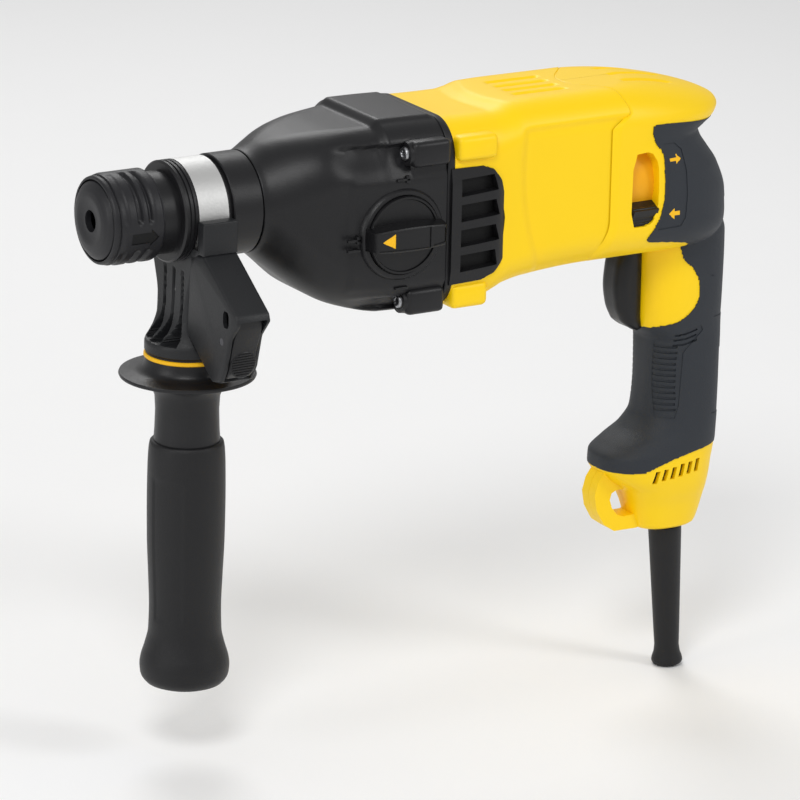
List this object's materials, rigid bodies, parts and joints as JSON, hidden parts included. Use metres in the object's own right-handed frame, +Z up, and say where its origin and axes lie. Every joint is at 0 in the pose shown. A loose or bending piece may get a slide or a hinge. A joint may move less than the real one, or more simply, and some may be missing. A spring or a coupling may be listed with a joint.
{
  "type": "corded rotary hammer",
  "caption": "Corded rotary hammer with a pistol grip, a turnable side handle, a mode knob, a keyless bit socket and a wobble-driven striking mechanism inside.",
  "frame": {"origin": "centre of the bit socket's mouth, on the spindle axis", "axes": "-X along the spindle towards the bit, +X towards the rear of the tool, +Z up with the main grip hanging down, -Y towards the tool's left side, where the mode knob is"},
  "size_m": [0.358, 0.1081, 0.3168],
  "materials": {
    "case_black": "fine moulded texture, satin sheen",
    "case_yellow": "glossy moulded plastic",
    "rubber_grip": "soft-touch rubber with moulded ribs",
    "steel_band": "satin strip",
    "steel_dark": "ground and oiled steel",
    "steel_bright": "polished",
    "rubber_black": "smooth rubber",
    "zinc_plate": "die cast",
    "lamination": "stacked sheet steel",
    "copper": "enamelled copper",
    "bronze": "sintered bronze",
    "carbon": "pressed carbon",
    "yellow_trim": "printed and moulded trim",
    "brown_board": "phenolic board"
  },
  "bodies": {
    "housing": {"gearcase": "case_black", "gearcase_screws": "steel_bright", "spindle_seal": "rubber_black", "front_bearing": "steel_bright", "tube_bushing": "bronze", "countershaft_bearings": "steel_bright", "air_baffle": "case_black", "gear_plate": "zinc_plate", "motor_bearings": "steel_bright", "motor_housing": "case_yellow", "stator_core": "lamination", "field_coils": "copper", "motor_bracket": "case_black", "handle_shell_left": "case_yellow", "handle_shell_right": "case_yellow", "grip_rubber_left": "rubber_grip", "grip_rubber_right": "rubber_grip", "handle_screws": "steel_bright", "switch_module": "brown_board", "cord_sleeve": "rubber_black", "cord_clamp": "case_black"},
    "spindle": {"tool_holder": "steel_dark", "detent_balls": "steel_bright", "dust_cap": "rubber_black", "hammer_tube": "steel_dark", "spindle_gear": "steel_dark", "clutch_spring": "steel_bright", "collar_spring": "steel_bright"},
    "collar": {"locking_collar": "case_black", "lock_ring": "steel_dark"},
    "beat_piece": {"beat_piece": "steel_dark"},
    "striker": {"striker": "steel_dark", "striker_ring": "rubber_black"},
    "piston": {"piston": "zinc_plate", "piston_ring": "rubber_black"},
    "piston_pin": {"piston_pin": "steel_dark"},
    "wobble_ring": {"wobble_ring": "steel_dark", "wobble_bearing_balls": "steel_bright"},
    "countershaft": {"countershaft": "steel_dark", "driven_gear": "steel_dark", "wobble_hub": "steel_dark"},
    "armature": {"armature_shaft": "steel_dark", "armature_core": "lamination", "armature_windings": "copper", "commutator": "copper", "cooling_fan": "case_black"},
    "brush_ring": {"brush_ring": "case_black", "carbon_brushes": "carbon"},
    "mode_knob": {"mode_knob": "case_black", "knob_pointer": "yellow_trim"},
    "trigger": {"trigger": "case_black"},
    "side_clamp": {"clamp_band": "steel_band", "clamp_bolt": "steel_bright", "clamp_saddle": "case_black", "lock_pin": "steel_bright"},
    "side_grip": {"side_grip": "case_black", "grip_nut": "steel_bright", "grip_ring": "yellow_trim", "side_grip_sleeve": "rubber_black"},
    "depth_lock": {"depth_lock": "rubber_black"}
  },
  "joints": [
    {"name": "spindle_spin", "type": "hinge", "parent": "housing", "child": "spindle", "pos_m": [0, 0, 0], "axis": [1, 0, 0], "continuous": true},
    {"name": "collar_slide", "type": "slide", "parent": "spindle", "child": "collar", "axis": [1, 0, 0], "range_m": [0, 0.008], "stiffness_N_per_m": 1500, "springref_m": -0.006},
    {"name": "beat_piece_slide", "type": "slide", "parent": "spindle", "child": "beat_piece", "axis": [1, 0, 0], "range_m": [-0.005, 0.001]},
    {"name": "striker_slide", "type": "slide", "parent": "spindle", "child": "striker", "axis": [1, 0, 0], "range_m": [-0.006, 0.002]},
    {"name": "piston_slide", "type": "slide", "parent": "housing", "child": "piston", "axis": [1, 0, 0], "range_m": [-0.0065, 0.0065]},
    {"name": "piston_pin_turn", "type": "hinge", "parent": "piston", "child": "piston_pin", "pos_m": [0.141, 0, 0], "axis": [0, 1, 0], "range_deg": [-12, 12]},
    {"name": "wobble_swing", "type": "hinge", "parent": "housing", "child": "wobble_ring", "pos_m": [0.141, 0, -0.031], "axis": [0, 1, 0], "range_deg": [-12, 12]},
    {"name": "countershaft_spin", "type": "hinge", "parent": "housing", "child": "countershaft", "pos_m": [0.141, 0, -0.031], "axis": [1, 0, 0], "continuous": true},
    {"name": "armature_spin", "type": "hinge", "parent": "housing", "child": "armature", "pos_m": [0.2, 0, -0.009], "axis": [1, 0, 0], "continuous": true},
    {"name": "direction_turn", "type": "hinge", "parent": "housing", "child": "brush_ring", "pos_m": [0.277, 0, -0.009], "axis": [-1, 0, 0], "range_deg": [0, 35]},
    {"name": "mode_turn", "type": "hinge", "parent": "housing", "child": "mode_knob", "pos_m": [0.141, -0.042, -0.015], "axis": [0, 1, 0], "range_deg": [-90, 90]},
    {"name": "trigger_press", "type": "slide", "parent": "housing", "child": "trigger", "axis": [1, 0, 0], "range_m": [0, 0.007], "stiffness_N_per_m": 900, "springref_m": -0.006},
    {"name": "side_clamp_turn", "type": "hinge", "parent": "housing", "child": "side_clamp", "pos_m": [0.0462, 0, 0], "axis": [1, 0, 0], "continuous": true},
    {"name": "side_grip_turn", "type": "hinge", "parent": "side_clamp", "child": "side_grip", "pos_m": [0.0462, 0, -0.09], "axis": [0, 0, 1], "continuous": true},
    {"name": "depth_lock_press", "type": "hinge", "parent": "side_clamp", "child": "depth_lock", "pos_m": [0.0462, -0.049, -0.0525], "axis": [1, 0, 0], "range_deg": [0, 8], "stiffness_Nm_per_rad": 0.6, "springref_deg": -11.46}
  ],
  "couplings": [
    {"joint": "spindle_spin", "follows": "countershaft_spin", "ratio": -0.29167},
    {"joint": "armature_spin", "follows": "countershaft_spin", "ratio": -4.5},
    {"joint": "piston_slide", "follows": "wobble_swing", "m_per_rad": 0.031},
    {"joint": "piston_pin_turn", "follows": "wobble_swing", "ratio": 1}
  ]
}
